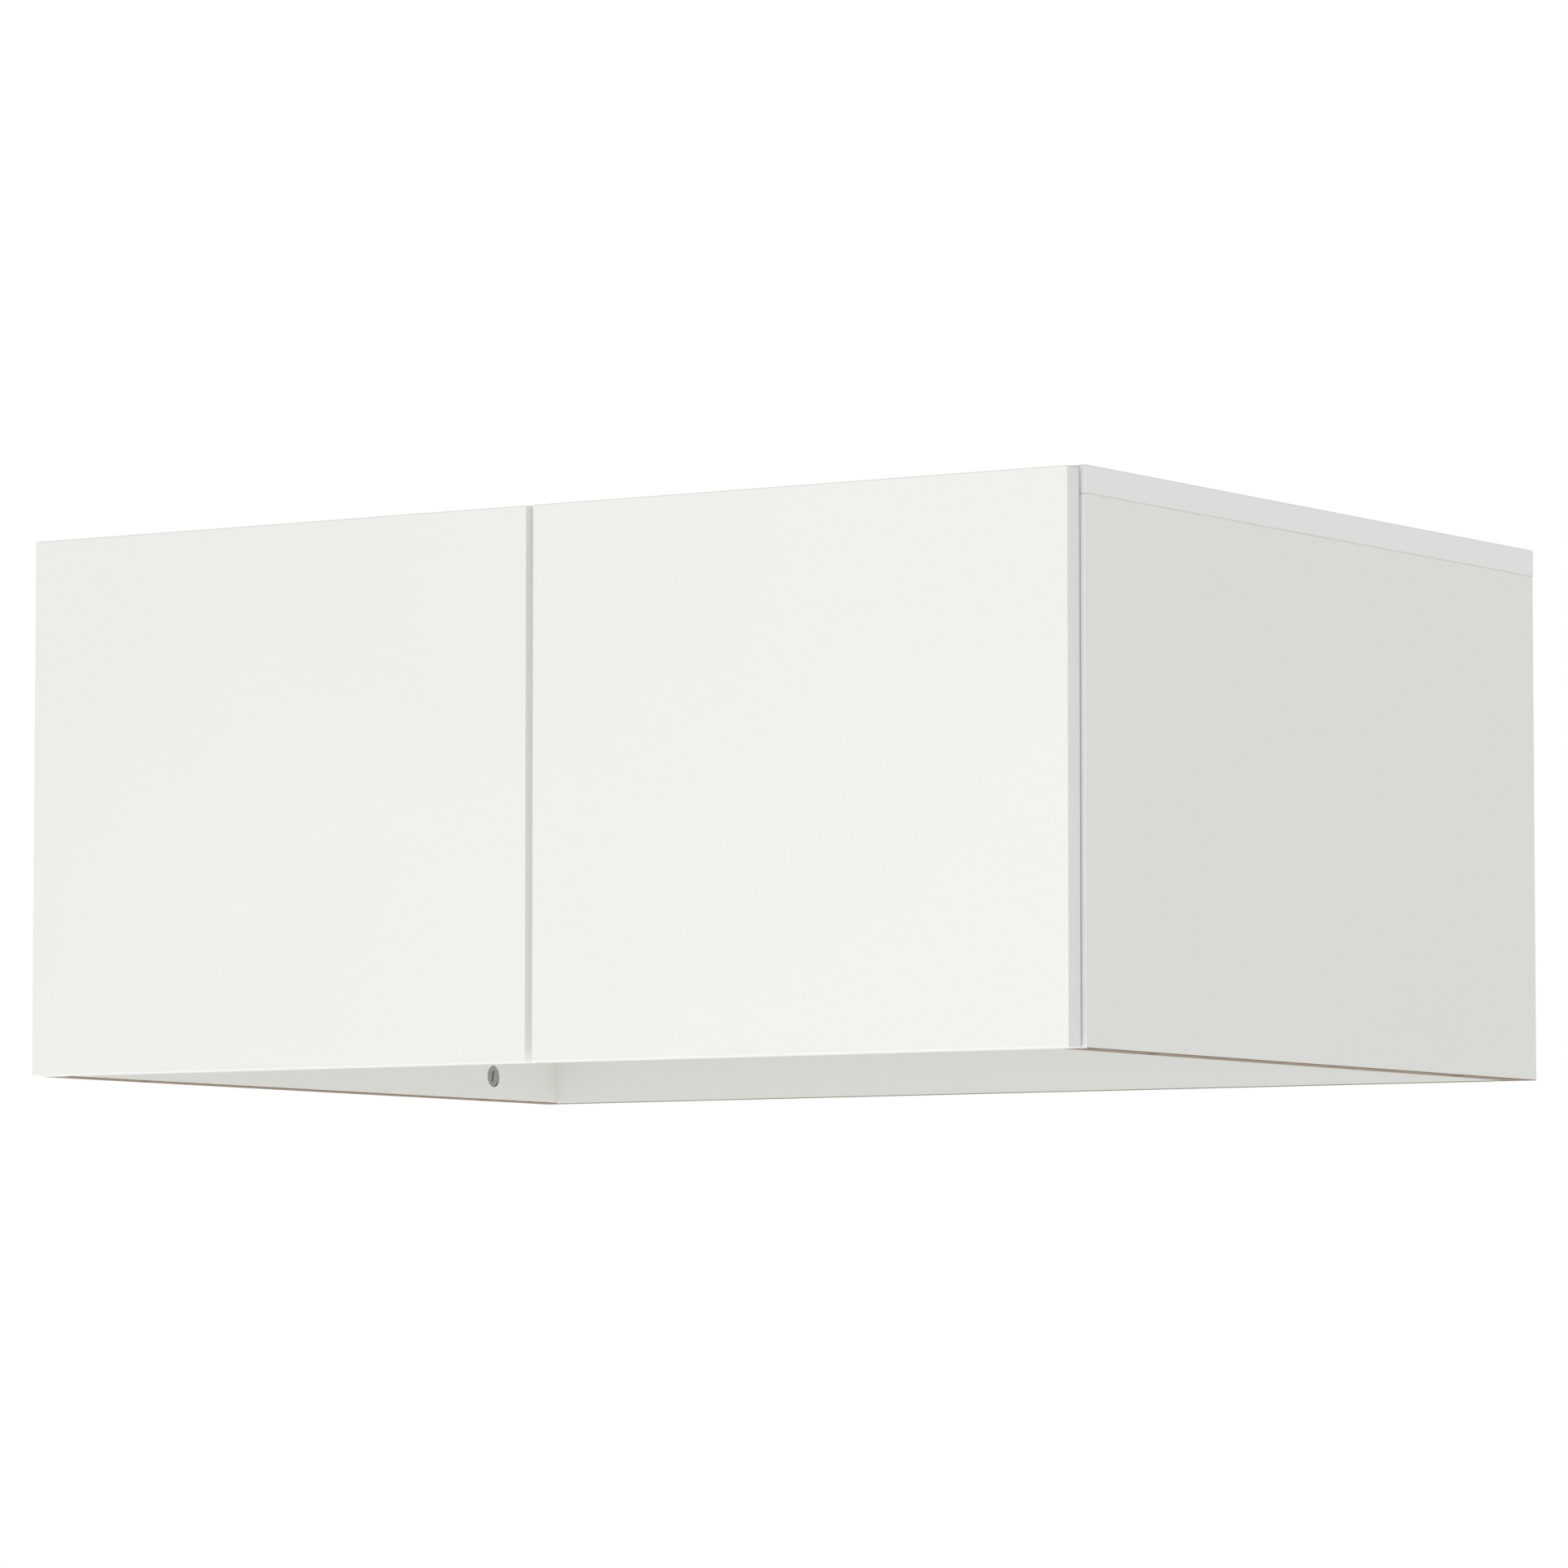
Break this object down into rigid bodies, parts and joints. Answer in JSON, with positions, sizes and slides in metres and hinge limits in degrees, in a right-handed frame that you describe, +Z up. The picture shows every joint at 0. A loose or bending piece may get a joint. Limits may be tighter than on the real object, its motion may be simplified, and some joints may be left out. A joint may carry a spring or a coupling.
{
  "type": "hanging wall cabinet",
  "caption": "Deep wall-hung storage cabinet with handleless hinged doors, a lay-on top, a thick back board for wall screws and an open underside with cam fittings.",
  "frame": {"origin": "midway between the two wall screw holes, on the rear face that meets the wall", "axes": "+X to the right as seen from the front, +Y from the doors into the wall, +Z up"},
  "size_m": [0.8016, 0.6015, 0.355],
  "materials": {
    "white_board": "white melamine on chipboard, fine satin grain, raw chipboard on the lower edges",
    "white_front": "white melamine on chipboard, all edges banded, fine satin grain",
    "zinc": "dull zinc die casting",
    "steel": "bright zinc-plated steel",
    "nickel": "nickel-plated steel, satin",
    "beech": "plain beech",
    "clear_pad": "soft clear pad"
  },
  "bodies": {
    "carcass": {"top_panel": "white_board", "side_panel_left": "white_board", "side_panel_right": "white_board", "back_panel": "white_board", "cams_top": "zinc", "cams_lower": "zinc", "cams_back": "zinc", "cam_bolts_top": "steel", "cam_bolts_back": "steel", "dowels_sides": "beech", "dowels_back": "beech", "hinge_arm_pins_left": "steel", "plate_screws_left": "steel", "arm_screws_left": "steel", "hinge_arm_left_lower": "nickel", "hinge_plate_left_lower": "nickel", "hinge_arm_left_upper": "nickel", "hinge_plate_left_upper": "nickel", "hinge_arm_pins_right": "steel", "plate_screws_right": "steel", "arm_screws_right": "steel", "hinge_arm_right_lower": "nickel", "hinge_plate_right_lower": "nickel", "hinge_arm_right_upper": "nickel", "hinge_plate_right_upper": "nickel"},
    "links_left": {"hinge_link_left_lower": "nickel", "hinge_link_left_upper": "nickel"},
    "door_left": {"door_left": "white_front", "bumpers_left": "clear_pad", "hinge_cup_left_lower": "nickel", "hinge_cup_left_upper": "nickel", "hinge_cup_pins_left": "steel", "cup_screws_left": "steel"},
    "links_right": {"hinge_link_right_lower": "nickel", "hinge_link_right_upper": "nickel"},
    "door_right": {"door_right": "white_front", "bumpers_right": "clear_pad", "hinge_cup_right_lower": "nickel", "hinge_cup_right_upper": "nickel", "hinge_cup_pins_right": "steel", "cup_screws_right": "steel"}
  },
  "joints": [
    {"name": "links_left_swing", "type": "hinge", "parent": "carcass", "child": "links_left", "pos_m": [-0.3738, -0.5926, 0], "axis": [0, 0, -1], "range_deg": [-52, 0]},
    {"name": "door_left_open", "type": "hinge", "parent": "links_left", "child": "door_left", "pos_m": [-0.3872, -0.5899, 0], "axis": [0, 0, -1], "range_deg": [0, 146.68]},
    {"name": "links_right_swing", "type": "hinge", "parent": "carcass", "child": "links_right", "pos_m": [0.3738, -0.5926, 0], "axis": [0, 0, 1], "range_deg": [-52, 0]},
    {"name": "door_right_open", "type": "hinge", "parent": "links_right", "child": "door_right", "pos_m": [0.3872, -0.5899, 0], "axis": [0, 0, 1], "range_deg": [0, 146.68]}
  ],
  "couplings": [
    {"joint": "links_left_swing", "follows": "door_left_open", "ratio": -0.35233},
    {"joint": "links_right_swing", "follows": "door_right_open", "ratio": -0.35233}
  ]
}
